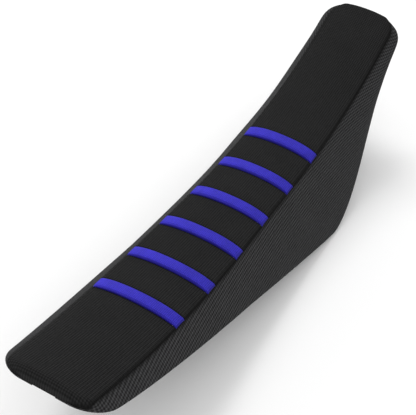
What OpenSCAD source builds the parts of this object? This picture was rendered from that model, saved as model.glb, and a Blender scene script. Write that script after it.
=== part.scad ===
// Motocross seat: a moulded pan, a foam core and a sewn gripper cover with raised cross ribs.
// +X is forward, +Y is the rider's left and +Z is up. The origin is on the axis of the two
// rear fixing bolts, midway between the sides.

/* [Overall shape] */
// Tip of the tail to tip of the nose
seat_length = 648; // [530:1:780]
// Tip of the tail to the axis of the rear fixing bolts
bolt_setback = 58; // [50:1:68]
// Tip of the tail to the lowest point of the saddle
saddle_at = 338; // [280:1:410]
// Height of the side seam at the saddle, above the rear bolt axis
saddle_z = 7.6; // [7.2:0.1:12]
// Rise of the side seam from the saddle to the tail
tail_rise = 44; // [36:1:54]
// Rise of the side seam from the saddle to the nose
nose_rise = 71; // [59:1:92]
// Tip of the tail to the deepest point of the side panels
belly_at = 428; // [380:1:500]
// Depth of the side panels below the saddle seam, at the belly
belly_depth = 83; // [68:1:100]
// Height of the side panel at the tail
tail_edge = 10; // [9:0.5:16]
// Height of the side panel at the nose
nose_edge = 20; // [15:0.5:26]

/* [Widths] */
// Width of the top panel at the saddle, seam to seam
top_w = 85; // [70:1:104]
// How far each side seam bulges out between saddle and tail
rear_bulge = 3.5; // [0:0.5:6]
// How far each side seam draws in between saddle and nose
nose_taper = 3; // [0:0.5:8]
// Width across the lower edges at the tail
tail_w = 94; // [84:1:114]
// Width across the lower edges at the belly
belly_w = 172; // [142:1:208]
// Width across the lower edges at the nose
nose_w = 96; // [80:1:116]
// Radius of the tail's corners, from above
tail_corner_r = 28; // [20:1:34]
// Radius of the top panel's corners at the nose, from above
nose_corner_r = 19; // [14:1:24]
// Radius of the side panels' lower corners at the nose, from above
nose_foot_r = 12; // [9:1:18]
// How much further the side panels swell out at the nose
nose_swell = 5; // [0:0.5:7]
// How far the top panel crowns above the side seams
crown_h = 6; // [3:0.5:12]
// Radius of the rolled top edge at the tail and the nose
end_roll = 5; // [3:0.5:6]

/* [Cover] */
// Thickness of the cover fabric with its backing
cover_t = 1.2; // [0.8:0.1:1.6]
// Clearance between soft layers
layer_gap = 0.3; // [0.2:0.05:0.5]
// Width of the hem stapled under the pan's rim
hem_w = 12; // [9:0.5:15]
// Number of raised ribs
rib_count = 6; // [4:1:8]
// Tip of the tail to the centre of the rearmost rib
rib_start = 144; // [120:1:170]
// Centre to centre of the ribs
rib_pitch = 58.4; // [46:0.1:66]
// Width of a rib, seam to seam
rib_w = 15; // [10:0.5:20]
// Height of a rib above the top panel
rib_h = 4; // [3:0.5:8]

/* [Pan] */
// Wall of the moulded pan
pan_t = 3; // [2:0.1:4]
// Foam between the pan's rim and the side cover
rim_foam = 3; // [2:0.5:6]
// Share of the panel height that the pan's tunnel roof stands above the rim
roof_share = 0.38; // [0.3:0.01:0.45]
// Share of the lower width that the tunnel roof spans
roof_span = 0.56; // [0.48:0.01:0.62]
// Depth of the cross ribs moulded under the tunnel roof
stiffener_h = 6; // [3:0.5:8]
// Thickness of those cross ribs
stiffener_t = 3; // [2:0.1:5]
// Number of bays between the cross ribs
bay_count = 9; // [6:1:10]

/* [Rear brackets] */
// Clearance between the cover's hem and each bracket's flange
ear_clearance = 1; // [0.5:0.1:3]
// Thickness of the pressed steel brackets
bracket_t = 3; // [2:0.1:4]
// Radius of the ear round the bolt
ear_r = 11.5; // [11:0.5:13]
// Hole in the ear for its grommet, diameter
grommet_seat_d = 14; // [13:0.5:16]
// Flange of the grommet, diameter
grommet_d = 18; // [17:0.5:20]
// Lip of the grommet each side of the ear
grommet_lip = 1.6; // [1:0.1:2.2]
// Outside of the steel collar, diameter
collar_d = 11; // [10.5:0.1:12]
// Bore of the steel collar, for an M8 bolt, diameter
collar_bore = 8.5; // [8.2:0.1:9]
// Length of the steel collar
collar_l = 10; // [8:0.5:14]
// Width of the bracket's flange under the pan
flange_w = 18; // [15:0.5:20]
// Length of the bracket's flange behind the bolt
flange_back = 20; // [18:0.5:22]
// Length of the bracket's flange ahead of the bolt
flange_front = 22; // [20:0.5:26]

/* [Screws and bolts] */
// Shank of the bracket bolts, M6, diameter
bolt_d = 6; // [5:0.5:8]
// Head of the bracket bolts across its flats
bolt_flats = 10; // [8:0.5:12]
// Outside of the threaded inserts, diameter
insert_d = 8.5; // [8:0.1:10]
// Length of the threaded inserts
insert_l = 5; // [4:0.5:5.5]
// Shank of the rivets and the tongue's screws, diameter
rivet_d = 5; // [4:0.1:6]
// Head of the rivets and the tongue's screws, diameter
rivet_head_d = 9; // [8:0.1:10]
// Clearance round every shank, on the diameter
hole_clearance = 0.4; // [0.2:0.05:1]

/* [Front hook, tongue and dampers] */
// Slot for the neck of the tank stud, width
stud_slot_w = 10.5; // [9:0.1:12]
// Length of the slot, from its mouth to the centre of its round end
stud_slot_l = 20; // [16:0.5:24]
// Space for the stud's head, above the hook plate
stud_head_room = 7; // [5:0.5:9]
// Length of the hook plate
hook_l = 36; // [32:0.5:42]
// Gauge of the hook plate
hook_t = 2.5; // [2:0.1:3]
// Gap above the tongue, for the frame's cross tube
tongue_gap = 14; // [11:0.5:17]
// Reach of the tongue ahead of its post
tongue_reach = 24; // [18:0.5:30]
// Thickness of the tongue and its plate
tongue_t = 4; // [3:0.1:5]
// Length of a rubber damper
damper_l = 32; // [26:0.5:36]
// Width of a rubber damper
damper_w = 16; // [12:0.5:20]
// Height of a rubber damper under the pan
damper_h = 9; // [8:0.5:12]
// Centre to centre of the staples
staple_pitch = 20; // [14:0.5:30]
// Width of a staple's crown
staple_w = 10; // [8:0.5:12]

/* [Hidden] */
$fn = 48;
part_gap = 0.1;                      // between hard pieces that rest on each other
staple_wire = 0.7;
lap = cover_t + 0.2;                 // the side cover starts this far under the top cover
fit_d = cover_t + layer_gap;         // the foam and the pan lie this far inside the cover
belly_z = saddle_z - belly_depth;
tail_power = 2.6;                    // the side seam's curve, saddle to tail
nose_power = 2.5;                      // and saddle to nose
taper_power = 2;
crown_power = 2.2;                   // the top panel's curve across
rear_edge_power = 0.78;              // the lower edge's curve, tail to belly
front_edge_power = 1.42;             // and belly to nose
rear_width_power = 0.8;              // its width, tail to belly
belly_blend = 2.5;
panel_swell = 0.025;                 // of a side panel's height
nose_swell_from = 0.77;              // of the length, and to where it is full
nose_swell_to = 0.92;
rib_side_power = 4;                  // a rib's section is a rounded hump
rib_round_power = 0.5;
rib_fill = 0.76;                     // share of its width that is padded
rib_fade = 0.75;                     // share of its height that a rib loses at the seams
rib_fade_power = 6;
pan_turn = [90, 68, 45, 20, 0, 0];   // slope of the pan's side from roof to rim, in degrees,
pan_out = [0, 0.1, 0.5, 0.9, 1, 1];  // and its way out and down, as shares
pan_down = [0, 0.04, 0.42, 0.7, 0.85, 1];
stiffener_ramp = 0.6;
bracket_to_stiffener = 23;
stiffener_to_nose = 78;
hook_setback = 46;                   // the nose to the middle of the hook
bolt_end = [8, 12];                  // bracket bolts in from the flange's rear and front
end_share = 0.054;                   // of the length, closely spaced rows at each end
end_fade = [0, 0.002, 0.006, 0.0125, 0.02, 0.03, 0.041, end_share];
mid_rows = 34;
top_cols = 12;
side_cols = 5;
stations = concat([for (f = end_fade) f],
                  [for (i = [1 : mid_rows]) lerp(end_share, 1 - end_share, i / (mid_rows + 1))],
                  [for (i = [len(end_fade) - 1 : -1 : 0]) 1 - end_fade[i]]);
rib_at = [for (i = [0 : rib_count - 1]) rib_start + i * rib_pitch];
flange_out = edge_y(bolt_setback - flange_back, 0) - hem_w - ear_clearance;
ear_y = flange_out - flange_w + bracket_t / 2;
first_stiffener = bolt_setback + flange_front + bracket_to_stiffener;
last_stiffener = seat_length - stiffener_to_nose;
stiffener_pitch = (last_stiffener - first_stiffener) / bay_count;
hook_at = seat_length - hook_setback;
tongue_at = bay_at(4);

// ---- Small helpers -------------------------------------------------------------------

function lerp(a, b, t) = a + (b - a) * t;
function smooth(t) = t * t * (3 - 2 * t);
function soft_max(a, b, r) = (a + b) / 2 + sqrt(pow((a - b) / 2, 2) + r * r);
function place(s, y, z) = [s - bolt_setback, y, z];

// A closed solid between two grids of points with the same rows and columns
module sheet(outer, inner) {
    rows = len(outer);
    cols = len(outer[0]);
    function o(i, j) = i * cols + j;
    function n(i, j) = rows * cols + i * cols + j;
    points = concat([for (row = outer) for (p = row) p], [for (row = inner) for (p = row) p]);
    faces = concat(
        [for (i = [0 : rows - 2]) for (j = [0 : cols - 2]) each [
            [o(i, j), o(i, j + 1), o(i + 1, j + 1)], [o(i, j), o(i + 1, j + 1), o(i + 1, j)],
            [n(i, j), n(i + 1, j + 1), n(i, j + 1)], [n(i, j), n(i + 1, j), n(i + 1, j + 1)]]],
        [for (j = [0 : cols - 2]) each [
            [o(0, j + 1), o(0, j), n(0, j)], [o(0, j + 1), n(0, j), n(0, j + 1)],
            [o(rows - 1, j), o(rows - 1, j + 1), n(rows - 1, j + 1)],
            [o(rows - 1, j), n(rows - 1, j + 1), n(rows - 1, j)]]],
        [for (i = [0 : rows - 2]) each [
            [o(i, 0), o(i + 1, 0), n(i + 1, 0)], [o(i, 0), n(i + 1, 0), n(i, 0)],
            [o(i + 1, cols - 1), o(i, cols - 1), n(i, cols - 1)],
            [o(i + 1, cols - 1), n(i, cols - 1), n(i + 1, cols - 1)]]]);
    polyhedron(points = points, faces = faces);
}

// ---- The seat's shape, s along it from the tail --------------------------------------

// Height of the side seam
function seam_z(s) = saddle_z + (s < saddle_at
    ? tail_rise * pow((saddle_at - s) / saddle_at, tail_power)
    : nose_rise * pow((s - saddle_at) / (seat_length - saddle_at), nose_power));

// Half of the top panel's width, before the corners are rounded
function top_half(s) = top_w / 2 + (s < saddle_at
    ? rear_bulge * sin(180 * s / saddle_at)
    : -nose_taper * pow((s - saddle_at) / (seat_length - saddle_at), taper_power));

// Height of the side panels' lower edge: a rear line and a front line, blended at the belly
function rear_edge(s) = belly_z + (seam_z(0) - tail_edge - belly_z)
    * (1 - pow(s / belly_at, rear_edge_power));
function front_edge(s) = belly_z + (seam_z(seat_length) - nose_edge - belly_z)
    * pow(max(0, s - belly_at) / (seat_length - belly_at), front_edge_power);
function edge_z(s) = soft_max(rear_edge(s), front_edge(s), belly_blend);

// Half of the width across the lower edges, before the corners are rounded
function edge_half(s) = s < belly_at
    ? lerp(tail_w, belly_w, pow(s / belly_at, rear_width_power)) / 2
    : lerp(belly_w, nose_w, smooth((s - belly_at) / (seat_length - belly_at))) / 2;

// How far the outline, d inside the cover's face, stands in from the straight sides
function corner_inset(s, d, nose_r) =
    s < tail_corner_r
        ? tail_corner_r - sqrt(max(0, pow(tail_corner_r - d, 2) - pow(tail_corner_r - s, 2)))
    : s > seat_length - nose_r
        ? nose_r - sqrt(max(0, pow(nose_r - d, 2) - pow(s - seat_length + nose_r, 2)))
    : d;
function seam_y(s, d) = top_half(s) - corner_inset(s, d, nose_corner_r);
function edge_y(s, d) = edge_half(s) - corner_inset(s, d, nose_foot_r);

// Height of the cover's top face: crowned across, and rolled over at both ends
function roll_drop(s) = let (e = min(s, seat_length - s))
    e < end_roll ? end_roll - sqrt(pow(end_roll, 2) - pow(end_roll - e, 2)) : 0;
function top_z(s, y) = seam_z(s) + crown_h * (1 - pow(abs(y) / top_half(s), crown_power))
    - roll_drop(s);

// The row at a share f of the length, d inside both ends
function row_s(f, d) = d + f * (seat_length - 2 * d);

// A side panel's line from the seam to the lower edge, d inside its face
function side_line(s, d, low) = let (
    seam = [seam_y(s, d), top_z(s, seam_y(s, 0)) - lap],
    edge = [edge_y(s, d), edge_z(s) + low],
    at_nose = (s / seat_length - nose_swell_from) / (nose_swell_to - nose_swell_from),
    swell = panel_swell * (seam[1] - edge[1]) + nose_swell * smooth(max(0, min(1, at_nose))))
    [for (j = [0 : side_cols]) let (t = j / side_cols)
        [lerp(seam[0], edge[0], t) + swell * sin(180 * t), lerp(seam[1], edge[1], t)]];

// Height of the pan's rim and of its tunnel roof, on their upper faces
function rim_z(s) = edge_z(s) + fit_d;
function roof_z(s) = rim_z(s) + pan_t
    + roof_share * max(0.5, seam_z(s) - roll_drop(s) - fit_d - rim_z(s) - pan_t);
function roof_under(s) = roof_z(s) - pan_t;
function roof_slope(s) = (roof_z(s + 2) - roof_z(s - 2)) / 4;
function roof_y(s) = roof_span * edge_half(s) - (edge_half(s) - edge_y(s, fit_d)) * roof_span;
function bay_at(i) = first_stiffener + (i + 0.5) * stiffener_pitch;

// The pan's upper face on one side, from the roof's edge out to the rim, and how far its
// lower face stands in from it
function pan_side(s, grow) = let (
    rim_y = edge_y(s, fit_d) - rim_foam,
    h = roof_z(s) - rim_z(s))
    [for (j = [0 : 5])
        [lerp(roof_y(s), rim_y, pan_out[j]) + grow * cos(pan_turn[j]),
         roof_z(s) - h * pan_down[j] + grow * sin(pan_turn[j])]];
function pan_line(s, grow, low_roof) = let (
    side = pan_side(s, grow),
    roof = side[0])
    concat([for (j = [5 : -1 : 0]) [-side[j][0], side[j][1] - (j == 0 ? low_roof : 0)]],
           [for (t = [-0.5, 0, 0.5]) [roof[0] * t * 1.6, roof[1] - low_roof]],
           [for (j = [0 : 5]) [side[j][0], side[j][1] - (j == 0 ? low_roof : 0)]]);

// Height of the pan's lower face at s, y out from the middle
function pan_under(s, y) = let (side = pan_side(s, -pan_t))
    lookup(y, concat([[0, side[0][1]]], [for (j = [0 : 4]) side[j]]));

// ---- Pan and foam --------------------------------------------------------------------

// Rows of the pan's stiffeners: each is a step down, a flat and a step back
stiffener_rows = [for (i = [0 : bay_count]) let (c = first_stiffener + i * stiffener_pitch)
    each [[c - stiffener_t / 2 - stiffener_ramp, 0], [c - stiffener_t / 2, stiffener_h],
          [c + stiffener_t / 2, stiffener_h], [c + stiffener_t / 2 + stiffener_ramp, 0]]];
tail_rows = [for (f = end_fade) [row_s(f, fit_d), 0]];
nose_rows = [for (i = [4 : -1 : 1])
    [last_stiffener + (row_s(1 - end_share, fit_d) - last_stiffener) * (1 - i / 5), 0]];
end_rows = [for (i = [len(end_fade) - 1 : -1 : 0]) [row_s(1 - end_fade[i], fit_d), 0]];
bay_rows = [for (i = [0 : bay_count])
    each concat([for (k = [0 : 3]) stiffener_rows[4 * i + k]],
                i < bay_count ? [for (k = [1, 2])
                    [first_stiffener + (i + k / 3) * stiffener_pitch, 0]] : [])];
pan_rows = concat(tail_rows, [[(row_s(end_share, fit_d) + first_stiffener) / 2, 0]], bay_rows,
                  nose_rows, end_rows);

module seat_base() {
    upper = [for (r = pan_rows) [for (p = pan_line(r[0], 0, 0)) place(r[0], p[0], p[1])]];
    lower = [for (r = pan_rows) [for (p = pan_line(r[0], -pan_t, r[1])) place(r[0], p[0], p[1])]];
    color([0.11, 0.11, 0.12]) sheet(upper, lower);
}

// Foam, from the cover's inner face down to the pan
module foam_core() {
    upper = [for (f = stations) let (
        s = row_s(f, fit_d),
        side = side_line(s, fit_d + 0.3, 3.2),
        half = seam_y(s, fit_d) - 0.1)
        [for (p = concat(
            [for (j = [side_cols : -1 : 0]) [-side[j][0], side[j][1]]],
            [for (i = [0 : top_cols]) let (y = half * (2 * i / top_cols - 1))
                [y, top_z(s, y) - fit_d]],
            [for (j = [0 : side_cols]) side[j]])) place(s, p[0], p[1])]];
    lower = [for (f = stations) let (
        s = row_s(f, fit_d),
        lift = [for (p = pan_side(s, layer_gap)) [p[0], max(p[1], edge_z(s) + fit_d + 0.35)]],
        roof = lift[0])
        [for (p = concat(
            [for (j = [side_cols : -1 : 0]) [-lift[j][0], lift[j][1]]],
            [for (i = [0 : top_cols]) [roof[0] * 0.98 * (2 * i / top_cols - 1), roof[1]]],
            [for (j = [0 : side_cols]) lift[j]])) place(s, p[0], p[1])]];
    color([0.86, 0.80, 0.60]) sheet(upper, lower);
}

// ---- Cover ---------------------------------------------------------------------------

// Side panel of gripper fabric with its hem turned under the rim, left-hand side
module side_panel() {
    function lines(f, d) = let (
        s = row_s(f, d),
        panel = side_line(s, d, 3),
        y = edge_y(s, d),
        z = edge_z(s) + d,
        hem = [[y - 0.8, z + 0.8 * (1 - d / 3)], [y - 3 + d / 2, z],
               [max(4, edge_y(s, 0) - hem_w), z]])
        [for (p = concat(panel, hem)) place(s, p[0], p[1])];
    sheet([for (f = stations) lines(f, 0)], [for (f = stations) lines(f, cover_t)]);
}
module cover_side_left() { color([0.20, 0.20, 0.205]) side_panel(); }
module cover_side_right() { color([0.20, 0.20, 0.205]) mirror([0, 1, 0]) side_panel(); }

// One section of the top panel from s = from to s = to, seam to seam, with the end flap
// that closes the tail or the nose where the section reaches it
module top_panel(from, to, rows) {
    cut_from = from > 0 ? [from] : [for (f = end_fade) f * seat_length];
    cut_to = to < seat_length ? [to] : [for (i = [len(end_fade) - 1 : -1 : 0])
                                            seat_length * (1 - end_fade[i])];
    a = cut_from[len(cut_from) - 1];
    b = cut_to[0];
    all = concat(cut_from, [for (i = [1 : rows]) lerp(a, b, i / (rows + 1))], cut_to);
    function across(s, d, x) = [for (i = [0 : top_cols]) let (
        y = seam_y(s, 0) * (2 * i / top_cols - 1)) place(x, y, top_z(s, y) - d)];
    function flap(s, x) = [for (i = [0 : top_cols]) let (
        y = (edge_y(s, 0) - 0.15) * (2 * i / top_cols - 1)) place(x, y, edge_z(s) + fit_d)];
    function layer(d) = concat(
        from > 0 ? [] : [flap(0, d)],
        [for (s = all) across(s, d, min(max(s, from > 0 ? 0 : d),
                                        to < seat_length ? seat_length : seat_length - d))],
        to < seat_length ? [] : [flap(seat_length, seat_length - d)]);
    sheet(layer(0), layer(cover_t));
}
module cover_top(i) {
    from = i == 1 ? 0 : rib_at[i - 2] + rib_w / 2 + 0.15;
    to = i == rib_count + 1 ? seat_length : rib_at[i - 1] - rib_w / 2 - 0.15;
    color([0.15, 0.15, 0.155]) top_panel(from, to, max(1, round((to - from) / 19)));
}

// Height of a rib over the top panel: t runs across the rib and u from the middle to a seam
function rib_rise(t, u) = rib_h * pow(1 - pow(abs(t), rib_side_power), rib_round_power)
    * (1 - rib_fade * pow(abs(u), rib_fade_power));
function rib_grid(c, reach, drop, rows, flat) = [for (k = [0 : rows]) let (
    t = reach * (2 * k / rows - 1), s = c + t * rib_w / 2)
    [for (i = [0 : top_cols]) let (u = 2 * i / top_cols - 1, y = u * (seam_y(s, 0) - drop / 4))
        place(s, y, top_z(s, y) + (flat ? 0 : rib_rise(t, u)) - drop)]];

module rib_cover(i) {
    c = rib_at[i - 1];
    color([0.17, 0.14, 0.68])
        sheet(rib_grid(c, 1, 0, 8, false), rib_grid(c, 1, cover_t, 8, false));
}
module rib_filler(i) {
    c = rib_at[i - 1];
    color([0.88, 0.86, 0.80])
        sheet(rib_grid(c, rib_fill, cover_t + 0.3, 6, false),
              rib_grid(c, rib_fill, cover_t + 0.2, 6, true));
}

// ---- Rear brackets -------------------------------------------------------------------

flange_in = flange_out - flange_w;
bolt_y = flange_out - (flange_w - bracket_t) / 2;
flange_top = pan_under(bolt_setback + flange_front, flange_out) - 1.5;
bolt_places = [bolt_setback - flange_back + bolt_end[0], bolt_setback + flange_front - bolt_end[1]];

// Nylon block between the sloping pan and the level bracket, left-hand side
module mount_block() {
    reach_s = [for (k = [0 : 4])
        lerp(bolt_setback - flange_back, bolt_setback + flange_front, k / 4)];
    reach_y = [for (k = [0 : 6]) lerp(flange_in, flange_out, k / 6)];
    difference() {
        sheet([for (s = reach_s) [for (y = reach_y) place(s, y, pan_under(s, y) - 2 * part_gap)]],
              [for (s = reach_s) [for (y = reach_y) place(s, y, flange_top + part_gap)]]);
        for (s = bolt_places)
            translate(place(s, bolt_y, flange_top - 1))
                cylinder(d = insert_d, h = insert_l + 1.2 + part_gap);
    }
}
module mount_block_left() { color([0.93, 0.92, 0.88]) mount_block(); }
module mount_block_right() { color([0.93, 0.92, 0.88]) mirror([0, 1, 0]) mount_block(); }

// Pressed bracket: a level flange under the block and, at its inner end, an ear round the bolt
module rear_bracket() {
    difference() {
        union() {
            translate([0, ear_y + bracket_t / 2, 0]) rotate([90, 0, 0])
                linear_extrude(bracket_t) hull() {
                    circle(r = ear_r);
                    translate([-flange_back, flange_top - 6]) square([flange_back + flange_front, 6]);
                }
            translate([-flange_back, flange_in, flange_top - bracket_t])
                cube([flange_back + flange_front, flange_w, bracket_t]);
        }
        translate([0, ear_y, 0]) rotate([90, 0, 0])
            cylinder(d = grommet_seat_d, h = 3 * bracket_t, center = true);
        for (s = bolt_places)
            translate(place(s, bolt_y, flange_top - 2 * bracket_t))
                cylinder(d = bolt_d + hole_clearance, h = 3 * bracket_t);
    }
}
module rear_bracket_left() { color([0.25, 0.26, 0.27]) rear_bracket(); }
module rear_bracket_right() { color([0.25, 0.26, 0.27]) mirror([0, 1, 0]) rear_bracket(); }

// Rubber grommet with a groove that holds the ear, left-hand side
module grommet() {
    in_r = collar_d / 2;
    lip_r = grommet_d / 2;
    neck_r = grommet_seat_d / 2;
    translate([0, ear_y, 0]) rotate([90, 0, 0]) rotate_extrude()
        polygon([[in_r, -bracket_t / 2 - grommet_lip], [lip_r - 0.6, -bracket_t / 2 - grommet_lip],
                 [lip_r, -bracket_t / 2 - grommet_lip + 0.6], [lip_r, -bracket_t / 2],
                 [neck_r, -bracket_t / 2], [neck_r, bracket_t / 2], [lip_r, bracket_t / 2],
                 [lip_r, bracket_t / 2 + grommet_lip - 0.6],
                 [lip_r - 0.6, bracket_t / 2 + grommet_lip], [in_r, bracket_t / 2 + grommet_lip]]);
}
module grommet_left() { color([0.08, 0.08, 0.08]) grommet(); }
module grommet_right() { color([0.08, 0.08, 0.08]) mirror([0, 1, 0]) grommet(); }

// Steel collar through the grommet, for the fixing bolt
module collar() {
    translate([0, ear_y, 0]) rotate([90, 0, 0]) difference() {
        cylinder(d = collar_d, h = collar_l, center = true);
        cylinder(d = collar_bore, h = collar_l + 2, center = true);
    }
}
module collar_left() { color([0.78, 0.78, 0.80]) collar(); }
module collar_right() { color([0.78, 0.78, 0.80]) mirror([0, 1, 0]) collar(); }

// Four hexagon bolts, up through the flanges into the inserts
module bracket_bolts() {
    color([0.72, 0.72, 0.74])
        for (side = [-1, 1]) for (s = bolt_places)
            translate(place(s, side * bolt_y, flange_top - bracket_t - part_gap))
                union() {
                    translate([0, 0, -4.2]) cylinder(d = bolt_flats / cos(30), h = 4.2, $fn = 6);
                    translate([0, 0, -1.2]) cylinder(d = bolt_flats + 3.5, h = 1.2);
                    translate([0, 0, -0.5]) cylinder(d = bolt_d - 0.2,
                                                     h = bracket_t + insert_l + 0.2 + part_gap);
                }
}
module bracket_inserts() {
    color([0.78, 0.62, 0.32])
        for (side = [-1, 1]) for (s = bolt_places)
            translate(place(s, side * bolt_y, flange_top + part_gap)) difference() {
                cylinder(d = insert_d - 0.1, h = insert_l);
                translate([0, 0, -1]) cylinder(d = bolt_d, h = insert_l + 2);
            }
}

// ---- Hook, tongue and dampers, each in the slope of the tunnel roof --------------------

module under_roof(s, y = 0) {
    translate(place(s, y, roof_under(s))) rotate([0, -atan(roof_slope(s)), 0]) children();
}

hook_half = 12;
hook_foot = 14;
hook_drop = stud_head_room + hook_t;
rivet_places = [for (x = [-hook_l / 2 + 8, hook_l / 2 - 8]) for (y = [-1, 1])
                   [x, y * (hook_half + hook_t + hook_foot / 2)]];

// Pressed hook: two feet on the pan and a dropped plate with a slot open towards the nose
module front_hook() {
    wall = hook_half + hook_t;
    color([0.62, 0.63, 0.65]) under_roof(hook_at) difference() {
        translate([-hook_l / 2, 0, -part_gap]) rotate([90, 0, 90]) linear_extrude(hook_l)
            polygon([[-wall - hook_foot, 0], [-wall + hook_t, 0], [-wall + hook_t, -hook_drop],
                     [wall - hook_t, -hook_drop], [wall - hook_t, 0], [wall + hook_foot, 0],
                     [wall + hook_foot, -hook_t], [wall, -hook_t], [wall, -hook_drop - hook_t],
                     [-wall, -hook_drop - hook_t], [-wall, -hook_t], [-wall - hook_foot, -hook_t]]);
        translate([hook_l / 2 - stud_slot_l, 0, -hook_drop - hook_t - 1])
            cylinder(d = stud_slot_w, h = hook_t + 1.5);
        translate([hook_l / 2 - stud_slot_l, -stud_slot_w / 2, -hook_drop - hook_t - 1])
            cube([stud_slot_l + 1, stud_slot_w, hook_t + 1.5]);
        for (p = rivet_places)
            translate([p[0], p[1], -hook_t - 1]) cylinder(d = rivet_d + hole_clearance, h = hook_t + 2);
    }
}

// A domed head with a shank up into its hole
module rivet(plate_t) {
    translate([0, 0, -plate_t - 2 * part_gap]) {
        rotate_extrude() polygon(concat([[0, 0], [rivet_head_d / 2, 0]],
            [for (a = [10 : 10 : 90]) [rivet_head_d / 2 * cos(a), -2 * sin(a)]]));
        translate([0, 0, -0.5]) cylinder(d = rivet_d, h = plate_t + 0.5);
    }
}
module hook_rivets() {
    color([0.80, 0.80, 0.82]) under_roof(hook_at)
        for (p = rivet_places) translate([p[0], p[1], 0]) rivet(hook_t);
}

tongue_w = 30;
tongue_plate = [34, 52];
screw_places = [for (x = [-9, 9]) for (y = [-1, 1]) [x, y * (tongue_plate[1] / 2 - 6)]];

// Moulded tongue: a plate under the pan, a post and a lip that hooks under the cross tube
module mid_tongue() {
    color([0.13, 0.13, 0.14]) under_roof(tongue_at) difference() {
        union() {
            translate([-tongue_plate[0] / 2, -tongue_plate[1] / 2, -part_gap - tongue_t])
                cube([tongue_plate[0], tongue_plate[1], tongue_t]);
            translate([-tongue_plate[0] / 2, tongue_w / 2, -part_gap]) rotate([90, 0, 0])
                linear_extrude(tongue_w)
                polygon([[0, -tongue_t + 0.5], [0, -tongue_t - tongue_gap],
                         [4, -2 * tongue_t - tongue_gap],
                         [tongue_t + tongue_reach - 3, -2 * tongue_t - tongue_gap],
                         [tongue_t + tongue_reach, -1.4 * tongue_t - tongue_gap],
                         [tongue_t + tongue_reach, -tongue_t - tongue_gap],
                         [2 * tongue_t, -tongue_t - tongue_gap], [tongue_t + 1, -2 * tongue_t],
                         [tongue_t + 3, -tongue_t + 0.5]]);
        }
        for (p = screw_places)
            translate([p[0], p[1], -part_gap - tongue_t - 1])
                cylinder(d = rivet_d + hole_clearance, h = tongue_t + 2);
    }
}
module tongue_screws() {
    color([0.76, 0.76, 0.78]) under_roof(tongue_at)
        for (p = screw_places) translate([p[0], p[1], 0]) rivet(tongue_t);
}

// Rubber damper that rests on the frame, its foot chamfered
module damper(bay, side) {
    s = bay_at(bay);
    y = side * (roof_y(s) - damper_w / 2 - 5);
    color([0.09, 0.09, 0.09]) under_roof(s, y) union() {
        translate([-damper_l / 2, -damper_w / 2, -part_gap - damper_h + 2])
            cube([damper_l, damper_w, damper_h - 2]);
        translate([0, damper_w / 2 - 2, -part_gap - damper_h]) rotate([90, 0, 0])
            linear_extrude(damper_w - 4)
            polygon([[-damper_l / 2 + 2, 0], [damper_l / 2 - 2, 0],
                     [damper_l / 2, 2], [-damper_l / 2, 2]]);
    }
}
front_bay = bay_count - 2;
mid_bay = 3;
rear_bay = 1;
module damper_front_left() { damper(front_bay, 1); }
module damper_front_right() { damper(front_bay, -1); }
module damper_mid_left() { damper(mid_bay, 1); }
module damper_mid_right() { damper(mid_bay, -1); }
module damper_rear_left() { damper(rear_bay, 1); }
module damper_rear_right() { damper(rear_bay, -1); }

// Staples along the hem, left-hand side
module staple_row() {
    start = tail_corner_r + staple_w;
    count = floor((seat_length - nose_corner_r - staple_w - start) / staple_pitch);
    for (i = [0 : count]) {
        s = start + i * staple_pitch;
        slope = (edge_z(s + 3) - edge_z(s - 3)) / 6;
        veer = (edge_half(s + 3) - edge_half(s - 3)) / 6;
        translate(place(s, edge_y(s, 0) - hem_w * 0.55, edge_z(s) - staple_wire / 2 - 0.35))
            rotate([0, -atan(slope), atan(veer)]) cube([staple_w, 1.2, staple_wire], center = true);
    }
}
module staples_left() { color([0.75, 0.75, 0.77]) staple_row(); }
module staples_right() { color([0.75, 0.75, 0.77]) mirror([0, 1, 0]) staple_row(); }

// ---- Drawing -------------------------------------------------------------------------

seat_base();
foam_core();
cover_side_left();
cover_side_right();
for (i = [1 : rib_count + 1]) cover_top(i);
for (i = [1 : rib_count]) rib_cover(i);
for (i = [1 : rib_count]) rib_filler(i);
mount_block_left();
mount_block_right();
rear_bracket_left();
rear_bracket_right();
grommet_left();
grommet_right();
collar_left();
collar_right();
bracket_bolts();
bracket_inserts();
front_hook();
hook_rivets();
mid_tongue();
tongue_screws();
damper_front_left();
damper_front_right();
damper_mid_left();
damper_mid_right();
damper_rear_left();
damper_rear_right();
staples_left();
staples_right();
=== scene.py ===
import math

import bmesh
import bpy
import numpy as np
from mathutils import Matrix, Vector


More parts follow.
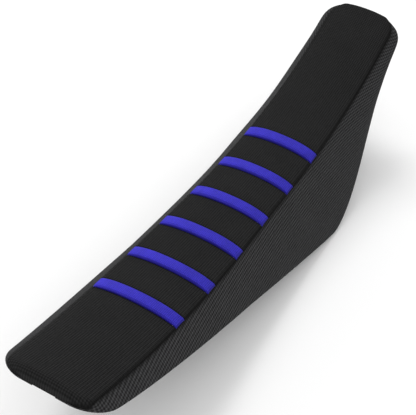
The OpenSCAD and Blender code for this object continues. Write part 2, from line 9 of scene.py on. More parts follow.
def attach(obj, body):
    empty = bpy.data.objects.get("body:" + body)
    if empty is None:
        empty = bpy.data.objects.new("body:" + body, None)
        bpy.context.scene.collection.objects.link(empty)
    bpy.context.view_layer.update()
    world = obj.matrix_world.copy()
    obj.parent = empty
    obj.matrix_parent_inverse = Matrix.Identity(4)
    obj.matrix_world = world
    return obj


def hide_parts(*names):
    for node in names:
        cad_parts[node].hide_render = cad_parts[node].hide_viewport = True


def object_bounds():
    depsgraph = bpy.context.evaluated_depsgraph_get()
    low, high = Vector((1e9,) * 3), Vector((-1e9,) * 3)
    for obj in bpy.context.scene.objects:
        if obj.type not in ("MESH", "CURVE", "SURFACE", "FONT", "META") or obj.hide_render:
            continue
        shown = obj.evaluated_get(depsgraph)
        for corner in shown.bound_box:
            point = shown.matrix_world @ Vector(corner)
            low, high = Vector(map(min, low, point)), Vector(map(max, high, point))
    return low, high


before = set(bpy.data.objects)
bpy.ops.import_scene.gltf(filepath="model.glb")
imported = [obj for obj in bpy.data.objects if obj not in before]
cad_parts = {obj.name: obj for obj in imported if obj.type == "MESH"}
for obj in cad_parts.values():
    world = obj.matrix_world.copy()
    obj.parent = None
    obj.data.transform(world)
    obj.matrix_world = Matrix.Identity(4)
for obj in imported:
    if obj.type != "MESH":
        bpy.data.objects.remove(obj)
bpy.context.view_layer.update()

# ---- The pan -----------------------------------------------------------------------------
# Injection-moulded polypropylene tray that carries the foam. Its sides turn down to a rim,
# and cross ribs under its tunnel roof stiffen it. The face has a fine spark-eroded grain.
MM = 0.001


class Level:
    """A number that changes over a surface. Sums on it add the Math nodes that work it out."""

    def __init__(self, finish, link):
        self.finish, self.link = finish, link

    def math(self, operation, *others, clamp=False):
        node = self.finish.node("ShaderNodeMath", {"operation": operation, "use_clamp": clamp},
                                dict(enumerate((self, *others))))
        return Level(self.finish, node.outputs[0])

    def __add__(self, other):
        return self.math("ADD", other)

    def __mul__(self, other):
        return self.math("MULTIPLY", other)

    def __sub__(self, other):
        return self.math("SUBTRACT", other)

    def __rsub__(self, other):
        return self * -1 + other

    def __truediv__(self, other):
        return self.math("DIVIDE", other)

    def __pow__(self, other):
        return self.math("POWER", other)

    __radd__ = __add__
    __rmul__ = __mul__

    def wave(self):
        return self.math("SINE")

    def over(self, low, high):
        """0 below low and 1 above high, with a soft step between"""
        node = self.finish.node(
            "ShaderNodeMapRange", {"interpolation_type": "SMOOTHSTEP"},
            {"Value": self, "From Min": low, "From Max": high})
        return Level(self.finish, node.outputs[0])


class Finish:
    """A material: one Principled shader, with nodes for what changes over the surface"""

    def __init__(self, name, color, roughness, metallic=0.0, **fixed):
        self.material = bpy.data.materials.new(name)
        self.material.use_nodes = True
        self.nodes = self.material.node_tree.nodes
        self.links = self.material.node_tree.links
        self.nodes.clear()
        self.place = self.node("ShaderNodeTexCoord").outputs["Object"]
        self.shader = self.node("ShaderNodeBsdfPrincipled", {}, {
            "Base Color": (*color, 1), "Roughness": roughness, "Metallic": metallic, **fixed})
        self.node("ShaderNodeOutputMaterial", {}, {"Surface": self.shader.outputs[0]})
        split = self.node("ShaderNodeSeparateXYZ", {}, {0: self.place})
        self.x, self.y, self.z = (Level(self, split.outputs[i]) for i in range(3))

    def node(self, kind, settings=None, values=None):
        made = self.nodes.new(kind)
        for name, value in (settings or {}).items():
            setattr(made, name, value)
        for name, value in (values or {}).items():
            self.feed(made.inputs[name], value)
        return made

    def feed(self, socket, value):
        if isinstance(value, Level):
            value = value.link
        if isinstance(value, bpy.types.NodeSocket):
            self.links.new(value, socket)
        else:
            socket.default_value = value

    def set(self, name, value):
        self.feed(self.shader.inputs[name], value)

    def noise(self, size, detail=2.0, stretch=(1, 1, 1)):
        """Soft random patches of about that size, in metres"""
        place = self.place
        if stretch != (1, 1, 1):
            place = self.node("ShaderNodeVectorMath", {"operation": "MULTIPLY"},
                              {0: place, 1: stretch}).outputs[0]
        made = self.node("ShaderNodeTexNoise", {}, {
            "Vector": place, "Scale": 1 / size, "Detail": detail, "Roughness": 0.55})
        return Level(self, made.outputs[0])

    def painted(self, name):
        """A number laid on the mesh's points under that name"""
        return Level(self, self.node("ShaderNodeAttribute", {"attribute_name": name}).outputs["Fac"])

    def shades(self, level, dark, light):
        """A colour that goes from dark to light with the level"""
        mix = self.node("ShaderNodeMix", {"data_type": "RGBA", "clamp_factor": True}, {
            "Factor": level, 6: (*dark, 1), 7: (*light, 1)})
        return mix.outputs[2]

    def relief(self, height, depth, strength=1.0):
        """Raises the surface by the height times depth, in metres"""
        made = self.node("ShaderNodeBump", {}, {
            "Height": height, "Distance": depth, "Strength": strength})
        self.set("Normal", made.outputs[0])


def wear(node, finish):
    """Gives a piece carried over from the fixed model its finish"""
    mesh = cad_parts[node].data
    mesh.materials.clear()
    mesh.materials.append(finish.material)


def show(name, bm, finish, slot, *replaced, soften=None):
    """Adds a finished mesh to the object, riding on the seat"""
    mesh = bpy.data.meshes.new(name)
    bm.to_mesh(mesh)
    bm.free()
    mesh.materials.append(finish.material)
    piece = bpy.data.objects.new(name, mesh)
    bpy.context.scene.collection.objects.link(piece)
    if soften:
        rounds = piece.modifiers.new("soften", "SUBSURF")
        rounds.levels = rounds.render_levels = soften
    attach(piece, "root")
    if replaced:
        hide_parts(*replaced)
    return piece


def joined(node, crease):
    """The fixed model's mesh with its triangles joined, shaded smooth where it bends gently"""
    bm = bmesh.new()
    bm.from_mesh(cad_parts[node].data)
    bmesh.ops.remove_doubles(bm, verts=bm.verts, dist=0.002 * MM)
    for face in bm.faces:
        face.smooth = True
    for edge in bm.edges:
        edge.smooth = edge.is_manifold and edge.calc_face_angle(0.0) < math.radians(crease)
    return bm


pan_plastic = Finish("moulded pan", (0.014, 0.014, 0.015), 0.5)
grain = pan_plastic.noise(0.9 * MM, 3)
cast = pan_plastic.noise(60 * MM)
pan_plastic.set("Base Color", pan_plastic.shades(cast * 0.7 + grain * 0.3, (0.010, 0.010, 0.011),
                                                 (0.021, 0.021, 0.022)))
pan_plastic.set("Roughness", grain * 0.25 + cast * 0.1 + 0.36)
pan_plastic.relief(grain, 0.12 * MM)
show("pan", joined("seat_base", 32), pan_plastic, "pan_plastic", "seat_base")

# ---- Mounting blocks, brackets and what is fixed through them ------------------------------
# Pressed steel brackets, black painted, under nylon blocks that take up the pan's slope. M6
# bolts hold them into brass inserts, and a rubber grommet and a zinc collar take each fixing.
nylon = Finish("nylon", (0.72, 0.70, 0.63), 0.42, **{"Subsurface Weight": 0.05})
flow = nylon.noise(14 * MM, 2, (1, 1, 3))
nylon.set("Base Color", nylon.shades(flow, (0.66, 0.64, 0.57), (0.76, 0.745, 0.68)))
nylon.set("Roughness", flow * 0.2 + 0.34)
nylon.relief(nylon.noise(1.4 * MM, 3), 0.06 * MM)

black_paint = Finish("black stove paint", (0.016, 0.016, 0.017), 0.35, **{"Coat Weight": 0.2})
peel = black_paint.noise(1.8 * MM, 2)
scuff = black_paint.noise(9 * MM, 4).over(0.62, 0.74)
black_paint.set("Base Color", black_paint.shades(scuff, (0.014, 0.014, 0.015), (0.05, 0.05, 0.052)))
black_paint.set("Roughness", peel * 0.12 + scuff * 0.25 + 0.28)
black_paint.relief(peel, 0.05 * MM)

zinc = Finish("zinc plate", (0.56, 0.56, 0.57), 0.34, 1.0)
bloom = zinc.noise(4 * MM, 4)
drawn = zinc.noise(1.5 * MM, 2, (0.12, 1, 1))
zinc.set("Base Color", zinc.shades(bloom, (0.44, 0.45, 0.46), (0.66, 0.655, 0.63)))
zinc.set("Roughness", bloom * 0.22 + drawn * 0.15 + 0.16)
zinc.relief(drawn, 0.02 * MM)

brass = Finish("brass", (0.62, 0.44, 0.17), 0.3, 1.0)
tarnish = brass.noise(3 * MM, 4)
brass.set("Base Color", brass.shades(tarnish, (0.42, 0.28, 0.10), (0.72, 0.53, 0.24)))
brass.set("Roughness", tarnish * 0.3 + 0.18)

rubber = Finish("rubber", (0.013, 0.013, 0.013), 0.7)
bloomed = rubber.noise(6 * MM, 4)
rubber.set("Base Color", rubber.shades(bloomed, (0.010, 0.010, 0.010), (0.028, 0.028, 0.027)))
rubber.set("Roughness", bloomed * 0.25 + 0.58)
rubber.relief(rubber.noise(0.8 * MM, 3), 0.08 * MM)

for side in ("left", "right"):
    wear("mount_block_" + side, nylon)
    wear("rear_bracket_" + side, black_paint)
    wear("grommet_" + side, rubber)
    wear("collar_" + side, zinc)
wear("bracket_bolts", zinc)
wear("bracket_inserts", brass)

# ---- Front hook and its rivets -------------------------------------------------------------
# Zinc-plated pressing whose slot slides over the tank's stud. Four rivets close it to the pan.
wear("front_hook", zinc)
wear("hook_rivets", zinc)

# ---- Middle tongue and its screws ----------------------------------------------------------
# Glass-filled nylon tongue that hooks under the frame's cross tube, held by four screws.
tongue_plastic = Finish("glass-filled nylon", (0.018, 0.018, 0.019), 0.55)
fibre = tongue_plastic.noise(2.2 * MM, 3, (0.3, 1, 1))
tongue_plastic.set("Base Color", tongue_plastic.shades(fibre, (0.013, 0.013, 0.014),
                                                       (0.030, 0.030, 0.031)))
tongue_plastic.set("Roughness", fibre * 0.3 + 0.4)
tongue_plastic.relief(fibre, 0.08 * MM)
wear("mid_tongue", tongue_plastic)
wear("tongue_screws", zinc)

# ---- Dampers -------------------------------------------------------------------------------
# Six rubber blocks, pushed on to the underside of the pan, that rest on the frame's rails.
for place in ("front", "mid", "rear"):
    for side in ("left", "right"):
        wear(f"damper_{place}_{side}", rubber)

# ---- The seat's lines, which every cover panel is cut to ------------------------------------
# Lengths in mm: s runs from the tail to the nose, y to the rider's left and z up. The pattern
# pieces share these curves, so their seams meet when they are sewn.
LENGTH, TO_BOLTS = 648, 58
SADDLE, SADDLE_Z, TAIL_RISE, NOSE_RISE = 338, 7.6, 44, 71
BELLY, BELLY_Z, TAIL_DEEP, NOSE_DEEP = 428, -75.4, 10, 20
TOP_W, BULGE, TAPER = 85, 3.5, 3
TAIL_W, BELLY_W, NOSE_W = 94, 172, 96
NOSE_SWELL, TAIL_SWELL, SWELL_END = 5, 4.5, 240
TAIL_CORNER, NOSE_CORNER, NOSE_FOOT = 28, 19, 11
CROWN, NOSE_ROLL, TAIL_ROLL, HEM_R = 6, 5, 8, 2.2
CLOTH, LAP = 1.2, 1.4
RIBS = [144 + 58.4 * i for i in range(6)]
RIB_W, RIB_H = 15, 3.3


def seam_height(s):
    back = TAIL_RISE * np.clip((SADDLE - s) / SADDLE, 0, 1) ** 2.6
    ahead = np.clip((s - SADDLE) / (LENGTH - SADDLE), 0, 1)
    return SADDLE_Z + back + NOSE_RISE * ahead ** 2.5


def top_half(s):
    bulge = BULGE * np.sin(np.pi * np.clip(s / SADDLE, 0, 1))
    return TOP_W / 2 + bulge - TAPER * np.clip((s - SADDLE) / (LENGTH - SADDLE), 0, 1) ** 2


def edge_height(s):
    tail = seam_height(0.0) - TAIL_DEEP - BELLY_Z
    nose = seam_height(LENGTH) - NOSE_DEEP - BELLY_Z
    rear = BELLY_Z + tail * (1 - (np.maximum(s, 0) / BELLY) ** 0.78)
    front = BELLY_Z + nose * (np.maximum(0, s - BELLY) / (LENGTH - BELLY)) ** 1.42
    return (rear + front) / 2 + np.sqrt(((rear - front) / 2) ** 2 + 2.5 ** 2)


def edge_half(s):
    rear = TAIL_W + (BELLY_W - TAIL_W) * (np.clip(s / BELLY, 0, 1)) ** 0.8
    rear = rear + 2 * TAIL_SWELL * np.clip(1 - s / SWELL_END, 0, 1) ** 0.8
    t = np.clip((s - BELLY) / (LENGTH - BELLY), 0, 1)
    return np.where(s < BELLY, rear, BELLY_W + (NOSE_W - BELLY_W) * t * t * (3 - 2 * t)) / 2


def corner(s, nose_radius):
    """How far the rounded corners draw the outline in"""
    tail = TAIL_CORNER - np.sqrt(np.maximum(0, TAIL_CORNER ** 2 - (TAIL_CORNER - s) ** 2))
    ahead = s - LENGTH + nose_radius
    nose = nose_radius - np.sqrt(np.maximum(0, nose_radius ** 2 - ahead ** 2))
    return np.where(s < TAIL_CORNER, tail, np.where(ahead > 0, nose, 0))


def tail_turn(s, y):
    """0 along the seat, then up to 1 at the tail's outline as the cloth rolls over it"""
    beside = np.clip((abs(y) - edge_half(s) + TAIL_CORNER) / TAIL_CORNER, 0, 0.999)
    near = np.clip(1 - s / TAIL_CORNER, 0, 1) / np.sqrt(1 - beside ** 2)
    begins = 1 - TAIL_ROLL / TAIL_CORNER
    return 1 - np.sqrt(1 - np.clip((near - begins) / (1 - begins), 0, 1) ** 2)


def edge_out(s):
    return edge_half(s) - corner(s, NOSE_FOOT)


def seam_out(s):
    """The side seams run straight into the tail's rounded outline, and turn with the nose's"""
    ahead = s - LENGTH + NOSE_CORNER
    nose = NOSE_CORNER - np.sqrt(np.maximum(0, NOSE_CORNER ** 2 - np.maximum(0, ahead) ** 2))
    straight, outline = top_half(s) - nose, edge_out(s)
    at_tail = (straight + outline - np.sqrt((straight - outline) ** 2 + 1.5)) / 2
    return np.where(s < 2 * TAIL_CORNER, at_tail, straight)


def top_height(s, y):
    e = np.clip(LENGTH - s, 0, NOSE_ROLL)
    roll = NOSE_ROLL - np.sqrt(NOSE_ROLL ** 2 - (NOSE_ROLL - e) ** 2)
    high = seam_height(s) + CROWN * (1 - np.minimum(1, abs(y) / top_half(s)) ** 2.2) - roll
    return high - (high - edge_height(s) - HEM_R - 1.3) * tail_turn(s, y)


def along(start, stop, step):
    """Rows for a panel, closer together where it turns the tail's or the nose's corners"""
    rows = [start]
    if start == 0:
        turn = np.linspace(0, math.pi / 2, max(4, round(44 / step)))
        rows = list(TAIL_CORNER * (1 - np.cos(turn)))
    tip = []
    if stop == LENGTH:
        turn = np.linspace(math.pi / 2, 0, max(4, round(30 / step)))
        tip = list(LENGTH - NOSE_CORNER * (1 - np.cos(turn)))
    goal = tip[0] if tip else stop
    count = max(2, round((goal - rows[-1]) / step))
    rows += list(np.linspace(rows[-1], goal, count + 1))[1:]
    return np.array(rows + tip[1:])


def across(half, step, fine):
    """Columns from one seam to the other, as shares, closer together at the seams"""
    edge = np.array([0, 0.35, 0.7, 1.1, 1.6, 2.3, 3.2, 4.5]) if fine else np.array([0.0])
    count = round(2 * (half - edge[-1]) / step)
    middle = np.linspace(-half + edge[-1], half - edge[-1], count + 1)[1:-1]
    return np.concatenate([-half + edge, middle, (half - edge)[::-1]]) / half


def laid(columns, rows, points, seam_shade=None):
    """A flat woven grid laid over the points, which are in mm, row after row. The seam shade,
    from 0 to 1 at each point, is painted shade that darkens the cloth in its seams' grooves and on
    its turned-down ends."""
    bm = bmesh.new()
    bmesh.ops.create_grid(bm, x_segments=columns - 1, y_segments=rows - 1, size=1)
    for vert, point in zip(bm.verts, points.reshape(-1, 3)):
        vert.co = Vector(point - (TO_BOLTS, 0, 0)) * MM
    # Painted shade: stored on the points under the name seam, and the cloth's colour darkens by it.
    if seam_shade is not None:
        shade_layer = bm.verts.layers.float.new("seam")
        for vert, near in zip(bm.verts, seam_shade.reshape(-1)):
            vert[shade_layer] = near
    for face in bm.faces:
        face.smooth = True
    bmesh.ops.recalc_face_normals(bm, faces=bm.faces)
    return bm


def top_points(s, u, drop=0.0):
    """The top panel's face at the rows s and the shares u of its half width"""
    s, u = np.meshgrid(s, u, indexing="ij")
    y = u * seam_out(s)
    return np.stack([s, y, top_height(s, y) - drop], axis=-1)


def rib_points(centre, t, u):
    """A rib's face: t runs across the rib from -1 to 1, and u from seam to seam"""
    rib = top_points(centre + t * (RIB_W / 2 + 0.14), u)
    hump = (1 - abs(t[:, None]) ** 4) ** 0.5 * (1 - 0.75 * abs(u[None, :]) ** 6)
    rib[..., 2] += RIB_H * hump
    return rib


def side_points(s, w):
    """A side panel's face on the left: w runs from 0 at the seam, by 1 at the lower edge,
    to 2 at the end of the hem that is turned under the pan's rim"""
    s, w = np.meshgrid(s, w, indexing="ij")
    hem = 12
    seam_y, edge_y, low = seam_out(s), edge_out(s), edge_height(s)
    seam_z = np.maximum(top_height(s, seam_y) - LAP, low + HEM_R + 0.3)
    t = np.clip(w, 0, 1)
    nose = np.clip((s / LENGTH - 0.77) / 0.15, 0, 1)
    swell = 0.025 * (seam_z - low - 3) + NOSE_SWELL * nose * nose * (3 - 2 * nose)
    y = seam_y + (edge_y - seam_y) * t + swell * np.sin(np.pi * t)
    z = seam_z + (low + HEM_R - seam_z) * t
    turn = np.clip((w - 1) / 0.4, 0, 1) * np.pi / 2
    y = y - HEM_R * (1 - np.cos(turn))
    z = z - HEM_R * np.sin(turn)
    under = np.clip((w - 1.4) / 0.6, 0, 1)
    y = y + (np.maximum(4, edge_y - hem) - y) * under
    return np.stack([s, y, z], axis=-1)


# ---- Foam ----------------------------------------------------------------------------------
# Moulded polyurethane foam, firm and full to the cover, open-celled under a thin skin.
foam_finish = Finish("seat foam", (0.72, 0.61, 0.34), 0.9)
cells = Level(foam_finish, foam_finish.node("ShaderNodeTexVoronoi", {}, {
    "Vector": foam_finish.place, "Scale": 1 / (1.6 * MM)}).outputs["Distance"])
aged = foam_finish.noise(45 * MM, 3)
foam_finish.set("Base Color", foam_finish.shades(aged * 0.8 + cells * 0.3, (0.55, 0.43, 0.20),
                                                 (0.80, 0.71, 0.46)))
foam_finish.set("Roughness", cells * 0.15 + 0.8)
foam_finish.relief(cells, 0.5 * MM)
# The core is trimmed to lie clear of the cloth, so that it doesn't show at a seam.
FOAM_GAP, NOSE_TRIM, NOSE_SQUEEZE = 1.1, 1.2, 0.93
core = joined("foam_core", 40)
for v in core.verts:
    s, y = v.co.x / MM + TO_BOLTS, v.co.y / MM
    if s < TAIL_CORNER or abs(y) < seam_out(s):
        v.co.z = min(v.co.z, float(top_height(s, y) - CLOTH - FOAM_GAP) * MM)
    if s > LENGTH - NOSE_CORNER:
        v.co.x -= NOSE_TRIM * MM
        v.co.y *= NOSE_SQUEEZE
foam = show("foam", core, foam_finish, "foam", "foam_core")

# ---- Drawing the cover tight ---------------------------------------------------------------
# The foam pushes the cover out between its seams. Each panel is a pillow here, held at its
# seams and blown up a little as cloth. What the cloth moved is kept and added to the panel.
FIRST_GAP = RIB_W / 2 + 0.15
PUFF_LIMIT = {"top": 1.5, "rib": 0.9, "side": 1.6}
patterns = {}
stops = [0.0] + [r for c in RIBS for r in (c - FIRST_GAP, c + FIRST_GAP)] + [float(LENGTH)]
for i in range(7):
    s = along(stops[2 * i], stops[2 * i + 1], 4.0)
    u = across(40.0, 4.0, False)
    patterns[f"top_{i + 1}"] = (s, u, top_points(s, u), (0, 0, -9))
for i, centre in enumerate(RIBS):
    t, u = np.linspace(-1, 1, 9), across(40.0, 3.0, False)
    patterns[f"rib_{i + 1}"] = (t, u, rib_points(centre, t, u), (0, 0, -5))
s, w = along(0, LENGTH, 5.0), np.linspace(0, 1, 17)
patterns["side"] = (s, w, side_points(s, w), (0, -9, -4))
puffs = {name: np.zeros(p[2].shape) for name, p in patterns.items()}

pillows, starts, count = bmesh.new(), {}, 0
for name, (rows, columns, points, inward) in patterns.items():
    bm = laid(len(columns), len(rows), points)
    grid = len(bm.verts)
    rim = {v.index for v in bm.verts if v.is_boundary}
    back = bmesh.ops.extrude_face_region(bm, geom=bm.faces[:], use_keep_orig=True)
    lining = [v for v in back["geom"] if isinstance(v, bmesh.types.BMVert)]
    bmesh.ops.translate(bm, verts=lining, vec=Vector(inward) * MM)
    bmesh.ops.recalc_face_normals(bm, faces=bm.faces)
    held = bm.verts.layers.deform.verify()
    bm.verts.ensure_lookup_table()
    for v in bm.verts:
        if v.index in rim or v.index >= grid:
            v[held][0] = 1.0
    lump = bpy.data.meshes.new("lump")
    bm.to_mesh(lump)
    bm.free()
    starts[name] = (count, grid)
    count += len(lump.vertices)
    pillows.from_mesh(lump)
    bpy.data.meshes.remove(lump)
blown = bpy.data.meshes.new("pillows")
pillows.to_mesh(blown)
pillows.free()
trial = bpy.data.objects.new("pillows", blown)
bpy.context.scene.collection.objects.link(trial)
trial.vertex_groups.new(name="held")
cloth = trial.modifiers.new("drawn tight", "CLOTH")
cloth.settings.use_pressure = True
cloth.settings.uniform_pressure_force = 24
cloth.settings.effector_weights.gravity = 0
cloth.settings.vertex_group_mass = "held"
cloth.settings.tension_stiffness = cloth.settings.compression_stiffness = 30
cloth.settings.bending_stiffness = 2
cloth.point_cache.frame_start, cloth.point_cache.frame_end = 1, 20
for number in range(1, 21):
    bpy.context.scene.frame_set(number)
ready = trial.evaluated_get(bpy.context.evaluated_depsgraph_get())
moved = np.zeros(len(blown.vertices) * 3)
ready.data.vertices.foreach_get("co", moved)
moved = moved.reshape(-1, 3) / MM + (TO_BOLTS, 0, 0)
for name, (rows, columns, points, inward) in patterns.items():
    first, grid = starts[name]
    shift = moved[first:first + grid].reshape(points.shape) - points
    far = np.linalg.norm(shift, axis=-1, keepdims=True)
    limit = PUFF_LIMIT[name.split("_")[0]]
    puffs[name] = shift * limit * np.tanh(far / limit) / np.maximum(far, 1e-6)
    print("cloth moved", name, round(float(far.max()), 2), "mm")
bpy.data.objects.remove(trial)
bpy.data.meshes.remove(blown)
bpy.context.scene.frame_set(1)


def puff(name, rows, columns):
    """What the cloth moved, at a panel's own finer rows and columns"""
    from_rows, from_columns = patterns[name][:2]
    out = []
    for axis in range(3):
        wide = np.array([np.interp(columns, from_columns, line) for line in puffs[name][..., axis]])
        full = np.array([np.interp(rows, from_rows, line) for line in wide.T]).T
        for _ in range(3):
            full[1:-1] = (full[:-2] + 2 * full[1:-1] + full[2:]) / 4
            full[:, 1:-1] = (full[:, :-2] + 2 * full[:, 1:-1] + full[:, 2:]) / 4
        out.append(full)
    return np.stack(out, axis=-1)


# ---- Side panels ---------------------------------------------------------------------------
# Coarse gripper vinyl with raised dots in diagonal rows. Each panel is sewn under the top
# panel's edge and its hem is turned under the pan's rim, where staples hold it.
SIDE_WEAVE = 5.2 * MM


def weave(first, second, pitch, low, high):
    """Raised dots where two slanting sets of waves meet"""
    p = (first + second) * (2 * math.pi / pitch)
    q = (first - second) * (2 * math.pi / pitch)
    return (p.wave() * q.wave()).over(low, high)


side_cloth = Finish("side gripper cloth", (0.03, 0.03, 0.032), 0.9, **{"Specular IOR Level": 0.15})
dots = weave(side_cloth.x * 0.92, side_cloth.z, SIDE_WEAVE, -0.5, 0.6)
mottle = side_cloth.noise(40 * MM, 3)
dust = side_cloth.noise(3 * MM, 2)
# Painted shade: the seam attribute darkens the side cloth along its top seam.
unshaded_share = 1 - side_cloth.painted("seam")
side_cloth.set("Base Color", side_cloth.shades(
    (dots * 0.7 + mottle * 0.2 + dust * 0.5 - 0.2) * unshaded_share,
    (0.004, 0.004, 0.004), (0.052, 0.052, 0.054)))
side_cloth.set("Roughness", 0.92 - dots * 0.10 + mottle * 0.06)
side_cloth.relief(dots + dust * 0.4, 0.5 * MM)


def thicken(piece):
    """Gives a cloth grid its thickness, inwards from its face"""
    wall = piece.modifiers.new("cloth", "SOLIDIFY")
    wall.thickness, wall.offset, wall.use_even_offset = CLOTH * MM, -1, False


s = along(0, LENGTH, 2.5)
w = np.concatenate([[0, 0.01, 0.022, 0.04, 0.065, 0.1, 0.14], np.linspace(0.18, 0.96, 26),
                    np.linspace(1, 1.4, 7), np.linspace(1.46, 2, 9)])
lower = puff("side", s, np.minimum(w, 1))
panel = side_points(s, w) + lower * (w <= 1)[None, :, None]
rise = (side_points(s, np.array([0.0]))[..., 2] - edge_height(s)[:, None])
tuck = np.exp(-(w[None, :] * rise / 1.6) ** 2)
# Painted shade along the top seam, where the side panel is tucked under the top panel's edge.
near = np.exp(-(w[None, :] * rise / 2.2) ** 2)
panel[..., 1] -= 0.7 * tuck
pucker = 0.22 * np.cos(2 * np.pi * s[:, None] / 6.5) * np.exp(-(w[None, :] * rise / 5) ** 2)
panel[..., 1] += pucker
for side, mirror in (("left", 1), ("right", -1)):
    bm = laid(len(w), len(s), panel * (1, mirror, 1), near)
    if sum(f.normal.y * mirror for f in bm.faces) < 0:
        bmesh.ops.reverse_faces(bm, faces=bm.faces)
    piece = show("side_panel_" + side, bm, side_cloth, "gripper_side", "cover_side_" + side)
    thicken(piece)

# ---- Top panels ----------------------------------------------------------------------------
# Fine gripper vinyl in seven pieces, bonded to a thin backing. Ribs are sewn between them,
# and the first and the last turn down over the tail and the nose.
top_cloth = Finish("top gripper cloth", (0.012, 0.012, 0.012), 0.9, **{"Specular IOR Level": 0.15})
TOP_WEAVE = 3.9 * MM
dots = weave(top_cloth.x, top_cloth.y * 0.8, TOP_WEAVE, -0.5, 0.7)
mottle = top_cloth.noise(34 * MM, 3)
dust = top_cloth.noise(2.4 * MM, 2)
# Painted shade: the seam attribute darkens the top cloth beside its seams and on its turned-down
# ends.
unshaded_share = 1 - top_cloth.painted("seam")
top_cloth.set("Base Color", top_cloth.shades(
    (dots * 0.5 + mottle * 0.3 + dust * 0.5 - 0.14) * unshaded_share,
    (0.001, 0.001, 0.001), (0.020, 0.020, 0.0203)))
top_cloth.set("Roughness", 0.92 - dots * 0.10 + mottle * 0.06)
top_cloth.relief(dots + dust * 0.4, 0.3 * MM)


def seam_dip(far, deep, wide):
    """How far the cloth is drawn in at that distance from a seam. The same fall-off sets how dark
    the painted seam shade is there.
    """
    return deep * np.exp(-(far / wide) ** 2)


def stitched(far):
    """The dip beside a rib, where the needle pulls the very edge under"""
    return seam_dip(far, 0.9, 1.3) + seam_dip(far, 0.25, 0.4)


for i in range(7):
    start, stop = stops[2 * i], stops[2 * i + 1]
    s, u = along(start, stop, 1.8), across(42.0, 1.9, True)
    close = np.array([0.4, 0.8, 1.3])
    if i > 0:
        s = np.unique(np.concatenate([s, start + close]))
    if i < 6:
        s = np.unique(np.concatenate([s, stop - close]))
    panel = top_points(s, u) + puff(f"top_{i + 1}", s, u)
    to_seam = (1 - abs(u[None, :])) * seam_out(s)[:, None]
    # near is painted shade, darkest in the grooves of the side seams and the rib seams.
    dip, near = seam_dip(to_seam, 1.2, 1.3), seam_dip(to_seam, 0.95, 2.0)
    if i > 0:
        dip = np.maximum(dip, stitched(s[:, None] - start))
        near = np.maximum(near, seam_dip(s[:, None] - start, 0.9, 1.1))
    if i < 6:
        dip = np.maximum(dip, stitched(stop - s[:, None]))
        near = np.maximum(near, seam_dip(stop - s[:, None], 0.9, 1.6))
    dip = dip + 0.2 * (1 + np.cos(2 * np.pi * s[:, None] / 6.5)) * np.exp(-(to_seam / 4.5) ** 2)
    panel[..., 2] -= dip * (1 - tail_turn(s[:, None], panel[..., 1]))
    for end, on in ((0, i == 0), (-1, i == 6)):
        if on:
            low = edge_height(s[end]) + (1.2 if end == 0 else 1.5)
            part = np.linspace(0.12, 1, 6)[:, None]
            last, wider = panel[end], edge_out(s[end]) - seam_out(s[end])
            swollen = (NOSE_SWELL + 0.6) * np.sin(np.pi * part) * (end == -1)
            flap = np.stack([np.full((6, len(u)), s[end]),
                             last[:, 1] + u * (part * wider + swollen),
                             last[:, 2] + part * (low - last[:, 2])], axis=-1)
            panel = np.concatenate([flap[::-1], panel] if end == 0 else [panel, flap])
            # Painted shade: the turned-down ends darken towards their lower edge, giving a dark
            # outline round the tail and the nose.
            dark = np.repeat(part, len(u), axis=1)
            near = np.concatenate([dark[::-1], near] if end == 0 else [near, dark])
    bm = laid(len(u), len(panel), panel, near)
    if sum(f.normal.z for f in bm.faces) < 0:
        bmesh.ops.reverse_faces(bm, faces=bm.faces)
    piece = show(f"top_panel_{i + 1}", bm, top_cloth, "gripper_top", f"cover_top_{i + 1}")
    thicken(piece)
    (stop - start + 12 * (i in (0, 6))) * MM * 1.01

# ---- Ribs ----------------------------------------------------------------------------------
# Blue gripper cloth wrapped over a strip of padding, so each rib stands up from the seat. The
# strip is glued down first, and then the rib is sewn between two top panels.
padding = Finish("rib padding", (0.76, 0.74, 0.68), 0.95)
fluff = padding.noise(2 * MM, 4)
padding.set("Base Color", padding.shades(fluff, (0.62, 0.60, 0.54), (0.84, 0.82, 0.77)))
padding.set("Roughness", fluff * 0.1 + 0.88)
padding.relief(fluff, 0.4 * MM)

blue_cloth = Finish("blue rib cloth", (0.042, 0.034, 0.48), 0.75, **{"Specular IOR Level": 0.2})
RIB_WEAVE = 3.4 * MM
dots = weave(blue_cloth.x, blue_cloth.y, RIB_WEAVE, -0.2, 0.9)
mottle = blue_cloth.noise(12 * MM, 3)
dust = blue_cloth.noise(1.5 * MM, 2)
# Painted shade: the seam attribute darkens the blue cloth along the rib's edges and ends.
unshaded_share = 1 - blue_cloth.painted("seam")
# Painted light: the ribs' colour grows lighter towards the seat's left, the side the key lamp shines
# from.
blue_cloth.set("Base Color", blue_cloth.shades(
    (dots * 0.4 + mottle * 0.4 + dust * 0.4 + blue_cloth.y * 3 - 0.08) * unshaded_share,
    (0.008, 0.005, 0.17), (0.056, 0.043, 0.70)))
blue_cloth.set("Roughness", 0.76 - dots * 0.12 + mottle * 0.1)
blue_cloth.relief(dots + dust * 0.3, 0.2 * MM)

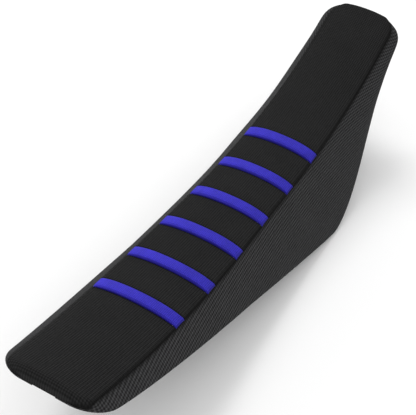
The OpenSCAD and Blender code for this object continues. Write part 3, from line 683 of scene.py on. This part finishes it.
STRIP_NARROWER, STRIP_LENGTH, STRIP_DROP = 0.12, 0.93, 1.1
t, u = np.linspace(-1, 1, 33), across(42.0, 1.6, True)
t = np.sign(t) * (1 - (1 - abs(t)) ** 1.5)
for i, centre in enumerate(RIBS):
    strip = joined(f"rib_filler_{i + 1}", 40)
    for v in strip.verts:
        v.co.x += (centre - TO_BOLTS - v.co.x / MM) * STRIP_NARROWER * MM
        v.co.y *= STRIP_LENGTH
        v.co.z -= STRIP_DROP * MM
    filler = show(f"rib_padding_{i + 1}", strip, padding, "rib_padding", f"rib_filler_{i + 1}")
    rib = rib_points(centre, t, u) + puff(f"rib_{i + 1}", t, u)
    rib[..., 2] -= stitched((1 - abs(t[:, None])) * RIB_W / 2)
    rib[..., 2] -= seam_dip((1 - abs(u[None, :])) * 42, 0.5, 1.2)
    rib[..., 2] -= seam_dip((1 - abs(u[None, :])) * 42, 1.2, 0.5)
    # Painted shade along the rib's edges and ends, darkest in the seam grooves.
    near = np.maximum(seam_dip((1 - abs(t[:, None])) * RIB_W / 2, 0.9, 0.8),
                      seam_dip((1 - abs(u[None, :])) * 42, 0.8, 1.0))
    bm = laid(len(u), len(t), rib, near)
    if sum(f.normal.z for f in bm.faces) < 0:
        bmesh.ops.reverse_faces(bm, faces=bm.faces)
    piece = show(f"rib_{i + 1}", bm, blue_cloth, "rib_blue", f"rib_cover_{i + 1}")
    thicken(piece)

# ---- Staples -------------------------------------------------------------------------------
# Galvanised wire staples shot through the hem into the pan's rim, one every 20 mm.
wear("staples_left", zinc)
wear("staples_right", zinc)

# ---- Studio --------------------------------------------------------------------------------
# The seat rests on a white table under a large soft light from its left, ahead of the nose.
low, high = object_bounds()
bpy.ops.mesh.primitive_plane_add(size=14, location=(0.3, 0, low.z - 0.0005))
table = bpy.context.object
table.name = "table"
white = Finish("white table", (0.86, 0.86, 0.86), 0.7)
table.data.materials.append(white.material)

world = bpy.data.worlds.new("studio")
bpy.context.scene.world = world
world.use_nodes = True
world.node_tree.nodes["Background"].inputs[0].default_value = (1, 1, 1, 1)
world.node_tree.nodes["Background"].inputs[1].default_value = 0.82

middle = Vector(((LENGTH / 2 - TO_BOLTS) * MM, 0, 0))
for name, place, size, power in (("key", (0.9, 1.0, 1.75), 0.9, 21),
                                 ("fill", (-1.7, -0.9, 1.3), 1.8, 12)):
    lamp = bpy.data.lights.new(name, "AREA")
    lamp.size, lamp.energy = size, power
    light = bpy.data.objects.new(name, lamp)
    light.location = middle + Vector(place)
    light.rotation_euler = Vector(place).to_track_quat("Z", "Y").to_euler()
    bpy.context.scene.collection.objects.link(light)

azimuth, lift, roll, distance = math.radians(-64.3), math.radians(42.4), math.radians(6.3), 1.034
back = Vector((math.sin(azimuth) * math.cos(lift), -math.cos(azimuth) * math.cos(lift),
               math.sin(lift)))
right = Vector((math.cos(azimuth), math.sin(azimuth), 0))
up = back.cross(right)
target = Vector((0.2114, 0, 0.0216)) + up * 0.0149
lens = bpy.data.cameras.new("camera")
lens.sensor_width, lens.lens = 36, 1032.9 / 416 * 36
camera = bpy.data.objects.new("camera", lens)
turned = Matrix((right * math.cos(roll) + up * math.sin(roll),
                 up * math.cos(roll) - right * math.sin(roll), back)).transposed()
camera.matrix_world = Matrix.Translation(target + back * distance) @ turned.to_4x4()
bpy.context.scene.collection.objects.link(camera)
bpy.context.scene.camera = camera
bpy.context.scene.view_settings.view_transform = "Standard"
